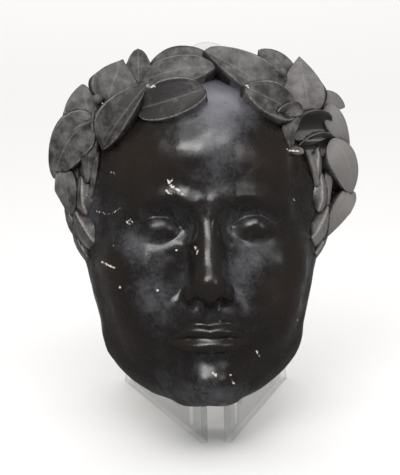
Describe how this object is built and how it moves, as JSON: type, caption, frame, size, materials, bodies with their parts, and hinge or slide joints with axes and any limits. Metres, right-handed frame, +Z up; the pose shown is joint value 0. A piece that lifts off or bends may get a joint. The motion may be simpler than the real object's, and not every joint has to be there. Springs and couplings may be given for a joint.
{
  "type": "plaster mask on an acrylic easel",
  "caption": "Life-size black-lacquered plaster mask of a calm face under a laurel wreath, hollow behind, leaning back on a bent clear acrylic easel.",
  "frame": {"origin": "middle of the bounding box at the height of the table the easel stands on", "axes": "+Z up; the face looks along -Y and leans back 20 degrees; +X is to the right of someone who looks at the face"},
  "size_m": [0.2198, 0.1735, 0.2698],
  "materials": {
    "lacquered_plaster": "satin black lacquer on the face, matte and dusty on the wreath",
    "clear_acrylic": "clear and polished"
  },
  "bodies": {
    "root": {"mask": "lacquered_plaster", "easel": "clear_acrylic"}
  },
  "joints": []
}
